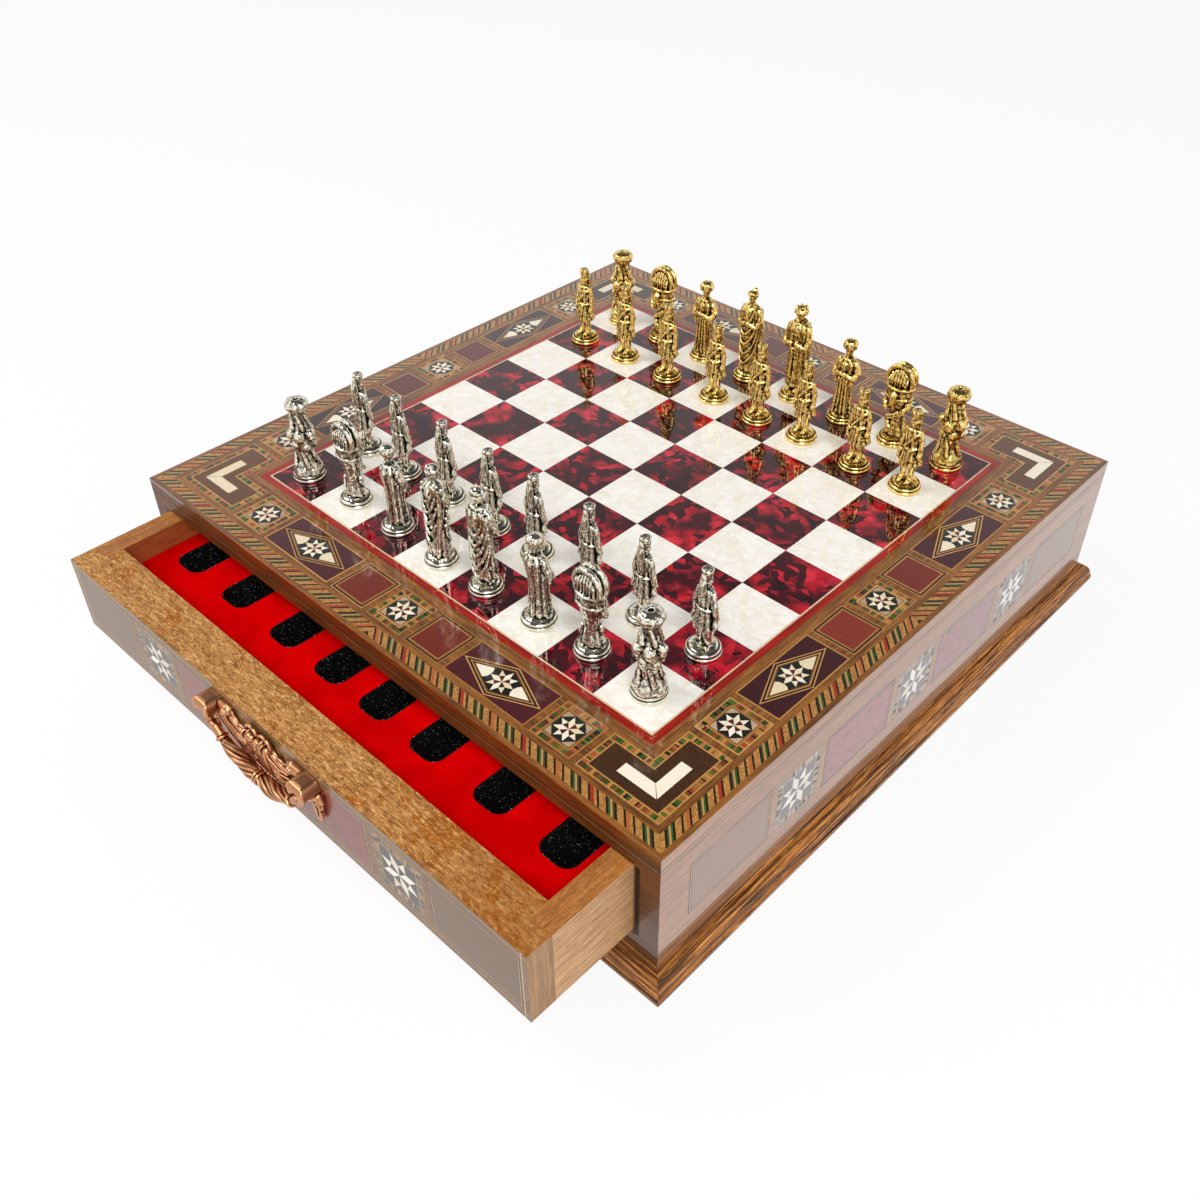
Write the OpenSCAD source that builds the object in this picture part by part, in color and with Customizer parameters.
// Chess box with two velvet lined drawers, inlaid borders and a cast metal set of men.
// Millimetres. +Z is up, -Y is the front, the origin is the middle of the base on the table.

/* [Playing field] */
// Side of one chess square
square = 36; // [32:0.5:44]
// Saw kerf left between neighbouring pieces of veneer
kerf = 0.1; // [0.05:0.05:0.3]
// Thickness of the squares, the bands and the border frame
veneer_t = 2; // [1.6:0.1:3]
// Width of the light stringing round the field
stringing_w = 0.9; // [0.5:0.1:2]
// Width of the red band outside the stringing
band_w = 4; // [2:0.5:8]

/* [Border] */
// Width of the mitred wooden border
border_w = 43.75; // [43:0.25:60]
// Bare wood and striped edging outside the row of tiles
tile_edge = 12.8; // [6:0.2:14]
// Side of a square border tile
tile = 25.3; // [20:0.1:28]
// Wood between neighbouring border tiles
tile_gap = 3.5; // [1:0.1:5]
// Length of each arm of a corner tile
corner_arm = 48.2; // [44:0.2:52]
// Thickness of the inlaid tiles
tile_t = 1.2; // [0.6:0.1:1.4]
// Point to point size of the star in a border tile
star_span = 15; // [10:0.5:18]
// Long arm of the ivory angle in a corner tile
angle_arm = 23; // [15:0.5:26]
// Width of the ivory angle
angle_w = 6; // [3:0.5:8]
// Distance from the corner tile's outer edges to the ivory angle
angle_edge = 9.5; // [6:0.5:12]

/* [Case] */
// Height of the whole box
box_h = 87; // [84:1:110]
// Thickness of the core board under the playing face
core_t = 7; // [5:0.5:10]
// Thickness of the case walls
wall_t = 13.6; // [10:0.2:16]
// Thickness of the bottom panel
bottom_t = 6; // [3:0.5:10]
// Thickness of the divider between the drawers
divider_t = 6; // [4:0.5:10]
// Height of the rail over each drawer
top_rail_h = 6; // [4:0.5:10]
// How far the rail under a drawer lies below the runners
rail_drop = 1.6; // [0.5:0.1:3]
// Width of a drawer runner
runner_w = 16; // [10:1:24]

/* [Plinth] */
// Height of the plinth moulding
plinth_h = 13; // [10:0.5:18]
// How far the plinth stands out from the case
plinth_out = 8; // [5:0.5:14]
// Height of the upright foot of the moulding
plinth_foot = 2.6; // [1:0.2:4]
// Radius of the bead along the top of the moulding
plinth_bead = 0.9; // [0.5:0.1:1.5]

/* [Wall and drawer panels] */
// Side of a square star tile on the walls and drawer fronts
wall_tile = 34; // [26:0.5:36]
// Length of the red and walnut panels
wall_panel = 55.1; // [40:0.1:57]
// Wood between neighbouring panels
wall_gap = 4; // [2:0.5:4.5]
// Height of the middle of the row of panels over the table
strip_z = 49; // [47:0.5:50]
// Point to point size of the star in a wall tile
wall_star = 25; // [16:0.5:28]

/* [Drawers] */
// Height of a drawer
drawer_h = 46; // [40:0.5:50]
// Gap at each side of a drawer
side_gap = 1.55; // [0.5:0.05:3]
// Gap over a drawer
top_gap = 0.5; // [0.3:0.1:1.5]
// Running gap between a drawer and its runners
run_gap = 0.3; // [0.2:0.05:0.6]
// Gap between a shut drawer and the divider
stop_gap = 0.5; // [0.3:0.1:2]
// Thickness of a drawer front
face_t = 24; // [18:0.5:30]
// Depth of the drawer front in front of the side boards
face_lip = 14; // [8:0.5:16]
// Thickness of the side boards
side_t = 12.5; // [8:0.5:14]
// Thickness of the back board
back_t = 10; // [6:0.5:14]
// Thickness of the drawer bottom
floor_t = 4; // [3:0.5:6]
// Height of the drawer bottom over the lower edge of the drawer
floor_lift = 2; // [1:0.5:4]
// Depth of the grooves that hold the drawer bottom
groove = 4; // [2:0.5:6]
// How far the front drawer stands open
front_open = 60; // [0:1:120]

/* [Velvet trays] */
// Depth of the velvet below the top of the drawer
tray_drop = 13.5; // [8:0.5:16]
// Width of a pocket
pocket_w = 21.5; // [19:0.5:24]
// Depth of a pocket
pocket_d = 20; // [14:0.5:22]
// Radius of a pocket's corners
pocket_corner = 7; // [3:0.5:9]
// Velvet between the drawer front and the pockets
pocket_front = 21; // [10:0.5:24]
// Velvet between the pockets and the back board
pocket_back = 10; // [6:0.5:24]
// Distances of the pockets from the middle of the drawer
pocket_x = [18, 56.5, 101, 143.7]; // [10:0.1:150]
// Wall thickness of the black pocket lining
lining_t = 0.8; // [0.4:0.1:1.5]

/* [Drawer pulls] */
// Distance of each lug from the middle of the pull
lug_x = 38.3; // [32:0.1:42]
// Width of a lug
lug_w = 12; // [10:0.5:16]
// Depth of a lug from the drawer front
lug_d = 10.5; // [9.5:0.5:14]
// Height of a lug
lug_h = 8; // [7:0.5:10]
// Height of the top of the lugs over the middle of the drawer front
lug_top = 19.3; // [18.5:0.1:20]
// Thickness of the pierced back plate
plate_t = 1.6; // [1:0.1:2.4]
// Height of the raised scrolls and ribs over the back plate
relief = 1.2; // [0.6:0.1:1.3]
// Width of the slot in a lug
slot_w = 5.4; // [4.8:0.1:6]
// Distance of the bail's pivot from the drawer front
pivot_d = 7; // [6.8:0.1:7.6]
// Distance of the pivot below the top of the lugs
pivot_drop = 6.6; // [5.5:0.1:7]
// Radius of the bail's pins
pin_r = 1.1; // [0.8:0.05:1.3]
// Clearance of a pin in its bore
pin_fit = 0.1; // [0.05:0.05:0.3]
// Radius of the bail's arms
arm_r = 2.1; // [1.6:0.1:2.2]
// Radius of the bail's grip
grip_r = 3.7; // [2.6:0.1:3.8]
// Distance of the grip's collars from the middle
collar_x = 28; // [24:0.5:30]
// Drop of the collars below the pivot
collar_drop = 13.6; // [11:0.2:16]
// Drop of the grip's middle below the pivot
grip_drop = 20; // [18:0.2:24]

/* [Men] */
// Diameter of a man's stand
stand_d = 18.5; // [16:0.5:20]
// Height of the king
king_h = 62; // [56:0.5:64]
// Height of the queen
queen_h = 60; // [54:0.5:62]
// Height of a bishop
bishop_h = 53; // [46:0.5:56]
// Height of a knight
knight_h = 51; // [46:0.5:54]
// Height of a rook
rook_h = 50; // [44:0.5:54]
// Height of a pawn
pawn_h = 50; // [44:0.5:52]
// Gap between a standing man and the board
seat = 0.2; // [0.1:0.05:0.4]

/* [Hidden] */
$fn = 48;
squares = 8;
field = squares * square / 2;
band_in = field + stringing_w;
border_in = band_in + band_w;
half = border_in + border_w;
core_z = box_h - veneer_t - core_t;
face_z = box_h - veneer_t;
open_top = core_z - top_rail_h;
open_x = half - wall_t;
drawer_top = open_top - top_gap;
drawer_z = drawer_top - drawer_h;
drawer_mid = drawer_z + drawer_h / 2;
runner_top = drawer_z - run_gap;
rail_top = runner_top - rail_drop;
drawer_x = open_x - side_gap;
inner_x = drawer_x - side_t;
drawer_l = half - divider_t / 2 - stop_gap;
tray_end = drawer_l - back_t;
// a pocket holds two men end to end
pocket_l = tray_end - face_t - pocket_front - pocket_back;
tray_top = drawer_top - tray_drop;
floor_z = drawer_z + floor_lift;
tray_z = floor_z + floor_t;
// middle of the border's row of tiles, and the lengths along it
row = half - tile_edge - tile / 2;
plain_x = tile + tile_gap;
corner_x = row + tile / 2 - corner_arm;
star_x = corner_x - tile_gap - tile / 2;
diamond_in = plain_x + tile / 2 + tile_gap;
diamond_out = star_x - tile / 2 - tile_gap;
diamond_x = (diamond_in + diamond_out) / 2;
diamond_l = diamond_out - diamond_in;
// places along the row of wall and drawer panels
red_x = wall_tile / 2 + wall_gap + wall_panel / 2;
wall_star_x = red_x + wall_panel / 2 + wall_gap + wall_tile / 2;
walnut_x = wall_star_x + wall_tile / 2 + wall_gap + wall_panel / 2;
// pivot of the pull, over the middle of the drawer front
pivot_z = lug_top - pivot_drop;
eye_r = arm_r + 0.3;
eye_l = slot_w - 0.8;
cheek = (lug_w - slot_w) / 2;
pin_l = cheek - 1;
band_l = 3;
ring_l = 2;
screw_x = 26.5;
screw_up = 16;
screw_r = 1.2;
screw_head_r = 2.4;
screw_l = 12;

// ---------- helpers ----------

// A block given by its lower and upper corner
module block(low, high) {
    translate(low)
        cube(high - low);
}

// Children as drawn and mirrored to the other side of the YZ plane
module both_sides() {
    children();
    mirror([1, 0, 0])
        children();
}

// Children at each of the four sides of the box, drawn once for the front
module four_sides() {
    for (turn = [0:90:270])
        rotate(turn)
            children();
}

// A rod from a to b with its own radius at each end
module rod(a, b, ra, rb) {
    d = b - a;
    translate(a)
        rotate([0, acos(d.z / norm(d)), atan2(d.y, d.x)])
            cylinder(h = norm(d), r1 = ra, r2 = rb);
}

// Eight pointed star, span from point to point, every point a quarter of a square
function star_points(span) = [
    for (i = [0:15])
        let (r = i % 2 == 0 ? span / 2 : span / 2 * 0.541, a = i * 22.5)
            [r * cos(a), r * sin(a)]
];

// ---------- playing face ----------

module square_field(dark) {
    for (i = [0:squares - 1], j = [0:squares - 1])
        if ((i + j) % 2 == (dark ? 0 : 1))
            translate([-field + i * square + kerf / 2, -field + j * square + kerf / 2, face_z])
                cube([square - kerf, square - kerf, veneer_t]);
}

module light_squares() {
    color("ivory")
        square_field(false);
}

module dark_squares() {
    color("darkred")
        square_field(true);
}

// A mitred strip along the front side, from one distance off the middle to another
module mitred_strip(near, far, low, high) {
    cut = kerf / 2;
    translate([0, 0, low])
        linear_extrude(high - low)
            polygon([
                [-near + cut, -near - cut], [near - cut, -near - cut],
                [far - cut, -far], [-far + cut, -far]
            ]);
}

module field_stringing() {
    color("wheat")
        four_sides()
            mitred_strip(field, band_in, face_z, box_h);
}

module red_band() {
    color("firebrick")
        four_sides()
            mitred_strip(band_in, border_in, face_z, box_h);
}

// Outlines of the tiles of one side, grown by a clearance
module tile_square(x, length, grow) {
    translate([x, -row])
        square([length + 2 * grow, tile + 2 * grow], center = true);
}

module corner_outline(grow) {
    out = row + tile / 2;
    difference() {
        translate([corner_x - grow, -out - grow])
            square(corner_arm + 2 * grow);
        translate([corner_x - 2 * grow - 1, -out + tile + grow])
            square(corner_arm - tile + grow + 1);
    }
}

// Recesses for every tile of the front border
module tile_recesses() {
    deep = tile_t + kerf;
    translate([0, 0, box_h - tile_t])
        linear_extrude(deep) {
            tile_square(0, tile, kerf);
            for (side = [-1, 1]) {
                tile_square(side * plain_x, tile, kerf);
                tile_square(side * diamond_x, diamond_l, kerf);
                tile_square(side * star_x, tile, kerf);
            }
            both_sides()
                corner_outline(kerf);
        }
}

module border_side() {
    color("peru")
        difference() {
            mitred_strip(border_in, half, face_z, box_h);
            tile_recesses();
        }
}

module border_front() {
    border_side();
}

module border_back() {
    rotate(180)
        border_side();
}

module border_left() {
    rotate(-90)
        border_side();
}

module border_right() {
    rotate(90)
        border_side();
}

module tile_layer() {
    translate([0, 0, box_h - tile_t])
        linear_extrude(tile_t)
            children();
}

module star_outline(span) {
    polygon(star_points(span));
}

module diamond_outline(shrink) {
    a = diamond_l / 2 - shrink * 1.8;
    b = tile / 2 - shrink;
    translate([diamond_x, -row])
        polygon([[-a, 0], [0, -b], [a, 0], [0, b]]);
}

// Two ivory bars that meet in a corner tile
module angle_outline(grow) {
    out = row + tile / 2 - angle_edge;
    translate([out, -out])
        polygon([
            [grow, -grow], [grow, angle_arm + grow], [-angle_w - grow, angle_arm + grow],
            [-angle_w - grow, angle_w + grow], [-angle_arm - grow, angle_w + grow],
            [-angle_arm - grow, -grow]
        ]);
}

module star_tiles() {
    color("saddlebrown")
        four_sides()
            tile_layer()
                for (x = [-star_x, 0, star_x])
                    difference() {
                        tile_square(x, tile, 0);
                        translate([x, -row])
                            star_outline(star_span + kerf);
                    }
}

module diamond_tiles() {
    color("indigo")
        four_sides()
            tile_layer()
                both_sides()
                    difference() {
                        tile_square(diamond_x, diamond_l, 0);
                        diamond_outline(1.5);
                    }
}

module plain_tiles() {
    color("brown")
        four_sides()
            tile_layer()
                both_sides()
                    tile_square(plain_x, tile, 0);
}

module corner_tiles() {
    color("saddlebrown")
        four_sides()
            tile_layer()
                difference() {
                    corner_outline(0);
                    angle_outline(kerf / 2);
                }
}

// Pale pieces let into the tiles: stars, lozenges and corner angles
module ivory_inlays() {
    color("ivory") {
        four_sides()
            tile_layer() {
                for (x = [-star_x, 0, star_x])
                    translate([x, -row])
                        star_outline(star_span);
                both_sides()
                    diamond_outline(1.5 + kerf / 2);
                angle_outline(0);
            }
        for (turn = [90, -90])
            rotate(turn)
                wall_layer(half)
                    for (x = [-wall_star_x, 0, wall_star_x])
                        translate([x, strip_z])
                            star_outline(wall_star);
    }
}

// ---------- case ----------

module top_board() {
    color("peru")
        block([-half, -half, core_z], [half, half, face_z]);
}

// Children drawn in the plane of a front face, as a layer of tile thickness behind it
module wall_layer(dist) {
    translate([0, -dist + tile_t, 0])
        rotate([90, 0, 0])
            linear_extrude(tile_t)
                children();
}

module panel(x, length, z, grow = 0) {
    translate([x, z])
        square([length + 2 * grow, wall_tile + 2 * grow], center = true);
}

module star_panels(z, grow = 0) {
    for (x = [-wall_star_x, 0, wall_star_x])
        panel(x, wall_tile, z, grow);
}

module red_panels(z, grow = 0) {
    for (side = [-1, 1])
        panel(side * red_x, wall_panel, z, grow);
}

module walnut_panels(z, grow = 0) {
    for (side = [-1, 1])
        panel(side * walnut_x, wall_panel, z, grow);
}

module star_holes(z) {
    for (x = [-wall_star_x, 0, wall_star_x])
        translate([x, z])
            star_outline(wall_star + kerf);
}

// Recess for a whole row of panels in a face that stands dist off the middle
module panel_recess(dist, z) {
    translate([0, -dist + tile_t, 0])
        rotate([90, 0, 0])
            linear_extrude(tile_t + kerf) {
                star_panels(z, kerf);
                red_panels(z, kerf);
                walnut_panels(z, kerf);
            }
}

// Side wall, drawn as the front one and turned into place
module side_wall() {
    color("peru")
        difference() {
            block([-half, -half, 0], [half, -open_x, core_z]);
            panel_recess(half, strip_z);
        }
}

module left_wall() {
    rotate(-90)
        side_wall();
}

module right_wall() {
    rotate(90)
        side_wall();
}

// Rails over and under a drawer, let in between the side walls
module rails() {
    color("sienna") {
        block([-open_x, -half, 0], [open_x, -open_x, rail_top]);
        block([-open_x, -half, open_top], [open_x, -open_x, core_z]);
    }
}

module front_rails() {
    rails();
}

module back_rails() {
    rotate(180)
        rails();
}

module bottom_panel() {
    color("burlywood")
        block([-open_x, -open_x, 0], [open_x, open_x, bottom_t]);
}

module centre_divider() {
    color("burlywood")
        block([-open_x, -divider_t / 2, bottom_t], [open_x, divider_t / 2, core_z]);
}

module drawer_runners() {
    color("burlywood")
        for (end = [0, 180])
            rotate(end)
                both_sides()
                    block([open_x - runner_w, -open_x, bottom_t],
                          [open_x, -divider_t / 2, runner_top]);
}

module wall_star_tiles() {
    color("lightslategray")
        for (turn = [90, -90])
            rotate(turn)
                wall_layer(half)
                    difference() {
                        star_panels(strip_z);
                        star_holes(strip_z);
                    }
}

module wall_red_panels() {
    color("brown")
        for (turn = [90, -90])
            rotate(turn)
                wall_layer(half)
                    red_panels(strip_z);
}

module wall_walnut_panels() {
    color("rosybrown")
        for (turn = [90, -90])
            rotate(turn)
                wall_layer(half)
                    walnut_panels(strip_z);
}

// Outline of the plinth: upright foot, quarter round, bead against the case
plinth_round = [plinth_out - 0.7, plinth_h - 2 * plinth_bead - plinth_foot - 0.4];
plinth_profile = concat(
    [[0, 0], [plinth_out, 0], [plinth_out, plinth_foot]],
    [for (a = [0:10:90])
        [plinth_bead + (plinth_round.x - plinth_bead) * cos(a),
         plinth_foot + 0.4 + plinth_round.y * sin(a)]],
    [for (a = [-60:30:90])
        [plinth_bead * cos(a), plinth_h - plinth_bead + plinth_bead * sin(a)]],
    [[0, plinth_h]]
);

module plinth_side() {
    reach = half + plinth_out;
    color("sienna")
        intersection() {
            translate([-reach, -half, 0])
                rotate([90, 0, 90])
                    linear_extrude(2 * reach)
                        mirror([1, 0])
                            polygon(plinth_profile);
            mitred_strip(half, reach + 1, -1, plinth_h + 1);
        }
}

module plinth_front() {
    plinth_side();
}

module plinth_back() {
    rotate(180)
        plinth_side();
}

module plinth_left() {
    rotate(-90)
        plinth_side();
}

module plinth_right() {
    rotate(90)
        plinth_side();
}

// ---------- drawers, drawn shut behind the front ----------

module front_place() {
    translate([0, -front_open, 0])
        children();
}

module back_place() {
    rotate(180)
        children();
}

module drawer_face() {
    color("sienna")
        difference() {
            block([-drawer_x, -half, drawer_z], [drawer_x, -half + face_t, drawer_top]);
            both_sides()
                block([inner_x, -half + face_lip, drawer_z - 1],
                      [drawer_x + 1, -half + face_t + 1, drawer_top + 1]);
            block([-inner_x - 1, -half + face_t - groove, floor_z],
                  [inner_x + 1, -half + face_t + 1, tray_z + kerf]);
            panel_recess(half, drawer_mid);
            for (side = [-1, 1])
                translate([side * screw_x, -half - 1, drawer_mid + screw_up])
                    rotate([-90, 0, 0])
                        cylinder(h = screw_l + 2, r = screw_r + kerf / 2);
        }
}

module drawer_sides() {
    color("burlywood")
        both_sides()
            difference() {
                block([inner_x, -half + face_lip, drawer_z],
                      [drawer_x, -half + drawer_l, drawer_top]);
                block([inner_x - 1, -half + face_lip - 1, floor_z],
                      [inner_x + groove, -half + drawer_l + 1, tray_z + kerf]);
            }
}

module drawer_back() {
    color("burlywood")
        difference() {
            block([-inner_x, -half + tray_end, drawer_z],
                  [inner_x, -half + drawer_l, drawer_top]);
            block([-inner_x - 1, -half + tray_end - 1, floor_z],
                  [inner_x + 1, -half + tray_end + groove, tray_z + kerf]);
        }
}

module drawer_floor() {
    over = groove - kerf;
    color("tan")
        block([-inner_x - over, -half + face_t - over, floor_z],
              [inner_x + over, -half + tray_end + over, tray_z]);
}

// Pockets with rounded corners, each drawn smaller all round by shrink
module pocket_outline(shrink) {
    r = pocket_corner - shrink;
    wide = pocket_w - 2 * shrink;
    long = pocket_l - 2 * shrink;
    front = -half + face_t + pocket_front + shrink;
    for (x = pocket_x, side = [-1, 1])
        translate([side * x, front]) {
            translate([-wide / 2, r])
                square([wide, long - 2 * r]);
            translate([-wide / 2 + r, 0])
                square([wide - 2 * r, long]);
            for (edge = [-1, 1], y = [r, long - r])
                translate([edge * (wide / 2 - r), y])
                    circle(r);
        }
}

module drawer_tray() {
    gap = 2 * kerf;
    color("crimson")
        difference() {
            block([-inner_x + gap, -half + face_t + gap, tray_z],
                  [inner_x - gap, -half + tray_end - gap, tray_top]);
            translate([0, 0, tray_top - pocket_d])
                linear_extrude(pocket_d + 1)
                    pocket_outline(0);
        }
}

module pocket_linings() {
    color("black")
        difference() {
            translate([0, 0, tray_top - pocket_d])
                linear_extrude(pocket_d - kerf)
                    pocket_outline(kerf / 2);
            translate([0, 0, tray_top - pocket_d + lining_t])
                linear_extrude(pocket_d + 1)
                    pocket_outline(kerf / 2 + lining_t);
        }
}

module drawer_inlays() {
    color("rosybrown")
        wall_layer(half) {
            difference() {
                star_panels(drawer_mid);
                star_holes(drawer_mid);
            }
            for (x = [-wall_star_x, 0, wall_star_x])
                translate([x, drawer_mid])
                    star_outline(wall_star);
            difference() {
                red_panels(drawer_mid);
                for (side = [-1, 1])
                    translate([side * screw_x, drawer_mid + screw_up])
                        circle(r = screw_r + kerf);
            }
            walnut_panels(drawer_mid);
        }
}

// ---------- pulls, drawn on the shut front drawer ----------

// Children in the plane of the drawer front, extruded outwards from it
module on_face(depth, start = 0) {
    translate([0, -half - start, drawer_mid])
        rotate([90, 0, 0])
            linear_extrude(depth)
                children();
}

module ring(r, w) {
    difference() {
        circle(r);
        circle(r - w);
    }
}

// A strip that hangs in an arc between the lugs: its lowest height, the place of its end, its width
module festoon(low, end, w) {
    rise = end.y - low;
    r = (end.x * end.x + rise * rise) / (2 * rise);
    sweep = asin(end.x / r);
    steps = 8;
    polygon(concat(
        [for (k = [-steps:steps])
            let (a = k * sweep / steps)
                [(r + w / 2) * sin(a), low + r - (r + w / 2) * cos(a)]],
        [for (k = [-steps:steps])
            let (a = -k * sweep / steps)
                [(r - w / 2) * sin(a), low + r - (r - w / 2) * cos(a)]]
    ));
}

// Festoons from the lowest to the highest: [lowest height, height of the ends, width]
festoons = [[-10, 4, 2.6], [-5, 7.5, 2], [-1, 10.5, 2]];
volute_x = 5.2;
volute_z = 16;
scroll_r = 10;
volute_t = 3;
rib_w = 1.4;
rib_l = 15;

// Half ring below its centre, drawn between the crest and a screw
module scroll(w) {
    translate([(volute_x + screw_x) / 2, screw_up + 2])
        difference() {
            circle(scroll_r + w / 2);
            circle(scroll_r - w / 2);
            translate([-2 * scroll_r, 0])
                square(4 * scroll_r);
        }
}

// Outline of the pierced back plate: crest, fan, scrolls, end lobes and festoons
module plate_outline() {
    fan = [[0, volute_z], [3.4, volute_z], [7.6, -3], [0, festoons[0][0] - 1.2]];
    for (f = festoons)
        festoon(f[0], [lug_x, f[1]], f[2]);
    both_sides() {
        polygon(fan);
        translate([volute_x, volute_z])
            circle(r = 4.8);
        scroll(3.4);
        translate([screw_x, screw_up])
            circle(r = 4);
        translate([lug_x, lug_top - 5])
            circle(r = 7);
        translate([lug_x + 4.6, 5])
            circle(r = 4.6);
        translate([lug_x + 4.6, -2])
            circle(r = 3.4);
        translate([lug_x, 8])
            circle(r = 5);
        translate([screw_x, screw_up - 2])
            square([lug_x - screw_x, 4]);
    }
}

// Raised ribs of the fan, the volutes and the middles of the scrolls and festoons
module plate_relief() {
    for (a = [-24:12:24])
        translate([0, volute_z - volute_t])
            rotate(a)
                translate([-rib_w / 2, -rib_l - 2])
                    square([rib_w, rib_l]);
    for (f = festoons)
        festoon(f[0], [lug_x - 3, f[1] - 0.4], f[2] * 0.45);
    both_sides() {
        translate([volute_x, volute_z])
            ring(4.4, 1.6);
        difference() {
            scroll(1.3);
            translate([screw_x, screw_up])
                circle(r = screw_head_r + kerf);
        }
    }
}

// Lug with a slot from below for the eye of the bail, and a leaf drop beside it
module pull_lug() {
    front = -half - lug_d;
    top = drawer_mid + lug_top;
    pivot = drawer_mid + pivot_z;
    difference() {
        union() {
            block([lug_x - lug_w / 2, front + 1.5, top - lug_h],
                  [lug_x + lug_w / 2, -half, top]);
            block([lug_x - lug_w / 2, front, top - lug_h + 1.5],
                  [lug_x + lug_w / 2, -half, top - 1.5]);
            for (z = [top - lug_h + 1.5, top - 1.5])
                translate([lug_x - lug_w / 2, front + 1.5, z])
                    rotate([0, 90, 0])
                        cylinder(h = lug_w, r = 1.5);
        }
        block([lug_x - slot_w / 2, front - 1, top - lug_h - 1],
              [lug_x + slot_w / 2, -half - plate_t, pivot + eye_r + 0.4]);
        translate([lug_x - slot_w / 2 - pin_l - 0.3, -half - pivot_d, pivot])
            rotate([0, 90, 0])
                cylinder(h = slot_w + 2 * pin_l + 0.6, r = pin_r + pin_fit);
    }
    for (step = [0:3])
        translate([lug_x + 4.6 - step * 0.4, -half - 1, top - lug_h - 1.5 - step * 4.1])
            rotate([90, 0, 0])
                cylinder(h = plate_t + 1.6 - step * 0.3, r1 = 3.4 - step * 0.5, r2 = 1.9 - step * 0.4);
}

module pull_plate() {
    color("chocolate")
        difference() {
            union() {
                on_face(plate_t)
                    plate_outline();
                on_face(relief, plate_t)
                    plate_relief();
                on_face(volute_t, plate_t)
                    both_sides()
                        translate([volute_x, volute_z])
                            circle(r = 2.2);
                both_sides()
                    pull_lug();
            }
            for (side = [-1, 1])
                translate([side * screw_x, -half - plate_t - 1, drawer_mid + screw_up])
                    rotate([-90, 0, 0])
                        cylinder(h = plate_t + 2, r = screw_r + kerf);
            block([-lug_x * 2, -half, drawer_z - 10], [lug_x * 2, -half + 10, drawer_top]);
        }
}

// Half of the bail: eye, pins, arm and ring collar. The arm leaves the slot before it turns in
module bail_half() {
    eye = [lug_x, -half - pivot_d, drawer_mid + pivot_z];
    knee = eye - [0, 0, lug_d - pivot_d + 1];
    collar = [collar_x, -half - pivot_d, drawer_mid + pivot_z - collar_drop];
    along = (collar - knee) / norm(collar - knee);
    lap = along * arm_r * 0.6;
    translate(eye - [eye_l / 2, 0, 0])
        rotate([0, 90, 0])
            cylinder(h = eye_l, r = eye_r);
    translate(eye - [slot_w / 2 + pin_l, 0, 0])
        rotate([0, 90, 0])
            cylinder(h = slot_w + 2 * pin_l, r = pin_r);
    rod(eye, knee - [0, 0, arm_r * 0.5], arm_r * 0.95, arm_r * 0.9);
    rod(knee - lap, collar, arm_r * 0.98, arm_r * 1.15);
    rod(collar - along * ring_l, collar, grip_r * 0.7, grip_r * 0.95);
    rod(collar, collar + along * ring_l, grip_r * 0.95, grip_r * 0.7);
}

// Bail whose grip is a chain of leaf cups that open outwards from a band in the middle
module pull_bail() {
    cups = 5;
    sag = grip_drop - collar_drop;
    bend = (collar_x * collar_x + sag * sag) / (2 * sag);
    sweep = asin(collar_x / bend);
    centre = drawer_mid + pivot_z - grip_drop + bend;
    grip = [
        for (k = [0:cups])
            let (a = k * sweep / cups)
                [bend * sin(a), -half - pivot_d, centre - bend * cos(a)]
    ];
    color("peru") {
        both_sides() {
            bail_half();
            for (k = [0:cups - 1])
                rod(grip[k], grip[k + 1], grip_r * (0.74 - k * 0.03), grip_r * (1 - k * 0.05));
        }
        translate(grip[0] - [band_l / 2, 0, 0])
            rotate([0, 90, 0])
                cylinder(h = band_l, r = grip_r * 1.03);
    }
}

module pull_screws() {
    head = -half - plate_t;
    color("chocolate")
        for (side = [-1, 1])
            translate([side * screw_x, head, drawer_mid + screw_up])
                rotate([-90, 0, 0]) {
                    cylinder(h = plate_t + screw_l, r = screw_r);
                    translate([0, 0, -1.2])
                        cylinder(h = 1.2, r1 = screw_head_r - 0.8, r2 = screw_head_r);
                }
}

// ---------- front drawer ----------

module front_drawer_face() {
    front_place()
        drawer_face();
}

module front_drawer_sides() {
    front_place()
        drawer_sides();
}

module front_drawer_back() {
    front_place()
        drawer_back();
}

module front_drawer_floor() {
    front_place()
        drawer_floor();
}

module front_drawer_tray() {
    front_place()
        drawer_tray();
}

module front_pocket_linings() {
    front_place()
        pocket_linings();
}

module front_drawer_inlays() {
    front_place()
        drawer_inlays();
}

module front_pull_plate() {
    front_place()
        pull_plate();
}

module front_pull_bail() {
    front_place()
        pull_bail();
}

module front_pull_screws() {
    front_place()
        pull_screws();
}

// ---------- back drawer ----------

module back_drawer_face() {
    back_place()
        drawer_face();
}

module back_drawer_sides() {
    back_place()
        drawer_sides();
}

module back_drawer_back() {
    back_place()
        drawer_back();
}

module back_drawer_floor() {
    back_place()
        drawer_floor();
}

module back_drawer_tray() {
    back_place()
        drawer_tray();
}

module back_pocket_linings() {
    back_place()
        pocket_linings();
}

module back_drawer_inlays() {
    back_place()
        drawer_inlays();
}

module back_pull_plate() {
    back_place()
        pull_plate();
}

module back_pull_bail() {
    back_place()
        pull_bail();
}

module back_pull_screws() {
    back_place()
        pull_screws();
}

// ---------- men ----------

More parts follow.
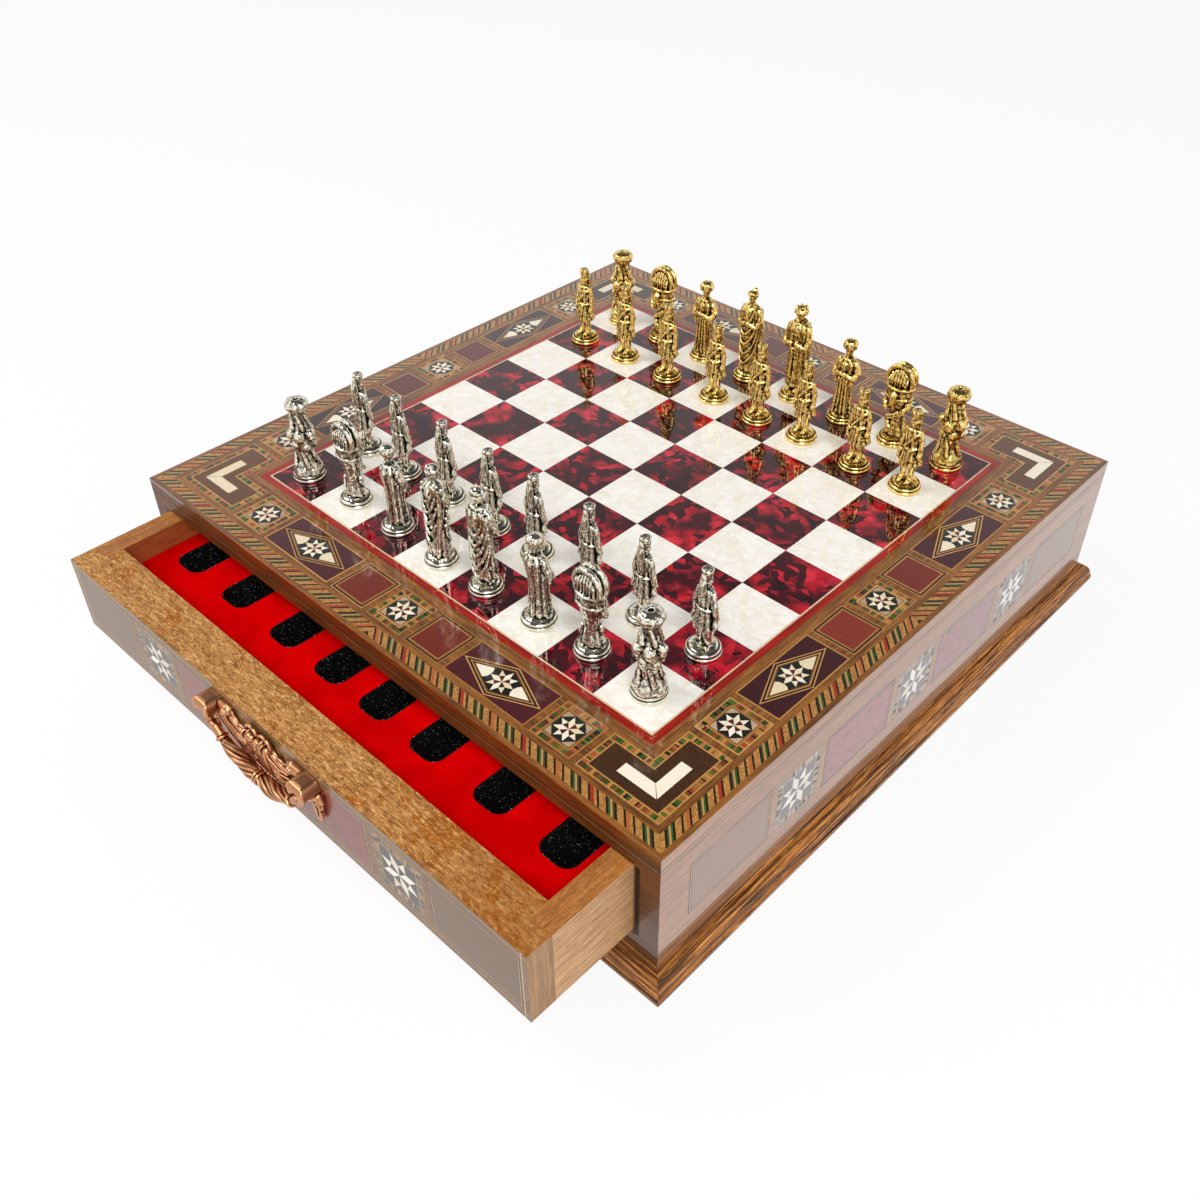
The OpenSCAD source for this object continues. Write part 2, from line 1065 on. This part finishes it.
// Children on the named files of a rank, turned to face the other side. A few men stand a little
// off the middle of their squares: [file, rank, step in x, step in y], the steps in 36ths of a square
module on_rank(files, rank, turn) {
    strays = [
        [0, 0, -3, -3], [3, 0, 2, -2], [4, 0, -1, -1], [6, 0, -2.5, 2.5],
        [1, 1, -1, -1], [3, 1, 1.5, -1.5], [4, 1, -1.5, -1], [7, 1, 0, 2],
        [3, 6, 1.5, 1], [5, 6, -4.5, 2], [6, 6, -1, -1], [7, 6, -4.5, 0.5]
    ];
    for (f = files) {
        step = [for (s = strays) if (s[0] == f && s[1] == rank) [s[2], s[3]] / 36];
        stray = len(step) > 0 ? step[0] : [0, 0];
        translate([(f - 3.5 + stray.x) * square, (rank - 3.5 + stray.y) * square, box_h + seat])
            rotate(turn)
                children();
    }
}

// Radii and widths of the men are in parts of their stand, whose width is 18.5 parts
m = stand_d / 18.5;

// Low round foot in three steps under every man
module stand() {
    profile = [
        [0, 0], [1, 0], [1, 0.28], [0.93, 0.34], [0.95, 0.52], [0.86, 0.6], [0.87, 0.76],
        [0.6, 0.92], [0, 1]
    ];
    rotate_extrude()
        polygon([for (p = profile) [p.x * stand_d / 2, p.y * 5 * m]]);
}

// A turned body from radii in parts and heights as fractions of the man's height
module turned(h, profile) {
    rotate_extrude()
        polygon([for (p = profile) [p.x * m, p.y * h]]);
}

// A tapered limb between two places given as x and y in parts and z as a fraction of the height
module limb(h, a, b, ra, rb) {
    rod([a.x * m, a.y * m, a.z * h], [b.x * m, b.y * m, b.z * h], ra * m, rb * m);
}

// Arms from the shoulders to elbows and hands
module arms(h, shoulder, elbow, hand, r) {
    both_sides() {
        limb(h, shoulder, elbow, r, r * 0.85);
        translate([elbow.x * m, elbow.y * m, elbow.z * h])
            sphere(r = r * m * 0.95);
        limb(h, elbow, hand, r * 0.85, r * 0.7);
    }
}

// Foot soldier: two legs, flared coat, arms at the sides, tall cap with a flap behind
module pawn() {
    h = pawn_h;
    stand();
    both_sides()
        limb(h, [2.7, 0, 0.07], [2.4, 0, 0.42], 1.9, 2.2);
    turned(h, [
        [0, 0.33], [5.8, 0.33], [5.9, 0.36], [4.6, 0.5], [3.8, 0.58], [4.1, 0.62], [4.7, 0.71],
        [3.8, 0.77], [2, 0.79], [0, 0.79]
    ]);
    arms(h, [4.3, 0, 0.73], [6, 0, 0.58], [5.8, 1.6, 0.44], 1.7);
    turned(h, [
        [0, 0.77], [1.8, 0.77], [2.2, 0.8], [2.6, 0.84], [2.4, 0.88], [2.9, 0.89], [2.6, 0.91],
        [3.2, 0.99], [2.8, 1], [0, 1]
    ]);
    limb(h, [0, -2.2, 0.93], [0, -3, 0.75], 1.3, 1.9);
}

// Tower: domed foot, waisted trunk with two rows of bosses, mushroom top with a hole
module rook() {
    h = rook_h;
    stand();
    turned(h, [
        [0, 0.02], [8.3, 0.08], [8.2, 0.11], [7.4, 0.16], [5.4, 0.24], [4.8, 0.32], [5.6, 0.4],
        [6.2, 0.52], [5.4, 0.63], [3.9, 0.76], [3.9, 0.83], [5.8, 0.875], [6.5, 0.91], [6.5, 0.935],
        [5.6, 0.975], [3.6, 0.99], [1.5, 1], [1.2, 0.97], [0, 0.97]
    ]);
    for (a = [20:72:360])
        rotate(a) {
            translate([5.6 * m, 0, 0.57 * h])
                sphere(r = 3.1 * m);
            rotate(36)
                translate([5 * m, 0, 0.43 * h])
                    sphere(r = 2.5 * m);
        }
}

// Mount whose high arched hood has a rim, a hollow face and ribs
module knight() {
    h = knight_h;
    hood = 9 * m;
    stand();
    turned(h, [
        [0, 0.05], [6, 0.08], [5.6, 0.13], [4.6, 0.22], [4.1, 0.3], [4.8, 0.38], [5.4, 0.46],
        [6.6, 0.54], [7.9, 0.6], [7.6, 0.62], [7.6, 0.7], [8, 0.72], [7.4, 0.75], [0, 0.75]
    ]);
    translate([0, 0, h - hood])
        rotate([90, 0, 0]) {
            cylinder(h = 5.4 * m, r = hood - m, center = true);
            difference() {
                cylinder(h = 7.4 * m, r = hood, center = true);
                cylinder(h = 8.4 * m, r = hood - 2.4 * m, center = true);
            }
            for (x = [-4:2:4])
                translate([x * m, 0, 0])
                    cube([m, 1.4 * sqrt(pow(hood, 2) - pow(x * m, 2)), 6.6 * m], center = true);
        }
    limb(h, [0, 3, 0.72], [0, 7, 0.6], 3, 2);
    arms(h, [6.2, 0, 0.6], [7.2, 1.4, 0.5], [5.2, 3.6, 0.44], 1.8);
}

// Robed figure, elbows out, flat cap
module bishop() {
    h = bishop_h;
    stand();
    turned(h, [
        [0, 0.05], [5.6, 0.08], [5.4, 0.13], [4.8, 0.22], [4.4, 0.44], [5.2, 0.56], [6, 0.66],
        [5.8, 0.72], [4.4, 0.76], [2.8, 0.77], [2, 0.8], [2.4, 0.83], [2.7, 0.87], [3.9, 0.89],
        [4.3, 0.915], [4.2, 0.95], [3.4, 0.98], [1.8, 1], [0, 1]
    ]);
    arms(h, [5.2, 0, 0.71], [7.8, 0.8, 0.6], [1.6, 4.8, 0.6], 2);
}

// Tall cloaked figure, the hair bound in a round roll
module queen() {
    h = queen_h;
    stand();
    turned(h, [
        [0, 0.05], [6.4, 0.08], [5.8, 0.2], [5.4, 0.34], [5.8, 0.5], [6.4, 0.62], [6.6, 0.71],
        [6.2, 0.77], [4.4, 0.81], [2, 0.84], [2, 0.855], [3, 0.88], [3.3, 0.92], [3.6, 0.94],
        [3.2, 0.965], [2, 0.97], [1.7, 0.99], [0, 1]
    ]);
    arms(h, [5.4, 0, 0.77], [7.2, 1, 0.65], [1.8, 5.2, 0.64], 1.9);
}

// Tall figure in boots and a long coat, a cape behind, a wound turban
module king() {
    h = king_h;
    stand();
    both_sides()
        limb(h, [2.7, 0, 0.06], [2.6, 0, 0.27], 2, 2.2);
    turned(h, [
        [0, 0.235], [6.4, 0.235], [6.5, 0.26], [6, 0.35], [5.6, 0.48], [6, 0.61], [7, 0.71],
        [7.2, 0.76], [6.2, 0.8], [3.6, 0.83], [2.4, 0.85], [3, 0.88], [3.2, 0.91], [4.3, 0.925],
        [4.4, 0.945], [3.9, 0.955], [4, 0.975], [2.8, 0.99], [0, 1]
    ]);
    both_sides()
        limb(h, [3.3, -2.5, 0.72], [3.8, -2.9, 0.12], 2.7, 2.4);
    limb(h, [0, -3.3, 0.75], [0, -3.6, 0.1], 3.1, 2.8);
    arms(h, [6, 0, 0.75], [7.9, 1, 0.64], [2.4, 5, 0.61], 2);
}

module silver() {
    color("silver")
        children();
}

module gold() {
    color("goldenrod")
        children();
}

module silver_pawns() {
    silver()
        on_rank([0:7], 1, 0)
            pawn();
}

module silver_rooks() {
    silver()
        on_rank([0, 7], 0, 0)
            rook();
}

module silver_knights() {
    silver()
        on_rank([1, 6], 0, 0)
            knight();
}

module silver_bishops() {
    silver()
        on_rank([2, 5], 0, 0)
            bishop();
}

module silver_queen() {
    silver()
        on_rank([3], 0, 0)
            queen();
}

module silver_king() {
    silver()
        on_rank([4], 0, 0)
            king();
}

module gold_pawns() {
    gold()
        on_rank([0:7], 6, 180)
            pawn();
}

module gold_rooks() {
    gold()
        on_rank([0, 7], 7, 180)
            rook();
}

module gold_knights() {
    gold()
        on_rank([1, 6], 7, 180)
            knight();
}

module gold_bishops() {
    gold()
        on_rank([2, 5], 7, 180)
            bishop();
}

module gold_queen() {
    gold()
        on_rank([3], 7, 180)
            queen();
}

module gold_king() {
    gold()
        on_rank([4], 7, 180)
            king();
}

plinth_front();
plinth_back();
plinth_left();
plinth_right();
left_wall();
right_wall();
front_rails();
back_rails();
bottom_panel();
centre_divider();
drawer_runners();
top_board();
border_front();
border_back();
border_left();
border_right();
light_squares();
dark_squares();
field_stringing();
red_band();
star_tiles();
diamond_tiles();
plain_tiles();
corner_tiles();
ivory_inlays();
wall_star_tiles();
wall_red_panels();
wall_walnut_panels();
front_drawer_face();
front_drawer_sides();
front_drawer_back();
front_drawer_floor();
front_drawer_tray();
front_pocket_linings();
front_drawer_inlays();
front_pull_plate();
front_pull_bail();
front_pull_screws();
back_drawer_face();
back_drawer_sides();
back_drawer_back();
back_drawer_floor();
back_drawer_tray();
back_pocket_linings();
back_drawer_inlays();
back_pull_plate();
back_pull_bail();
back_pull_screws();
silver_pawns();
silver_rooks();
silver_knights();
silver_bishops();
silver_queen();
silver_king();
gold_pawns();
gold_rooks();
gold_knights();
gold_bishops();
gold_queen();
gold_king();
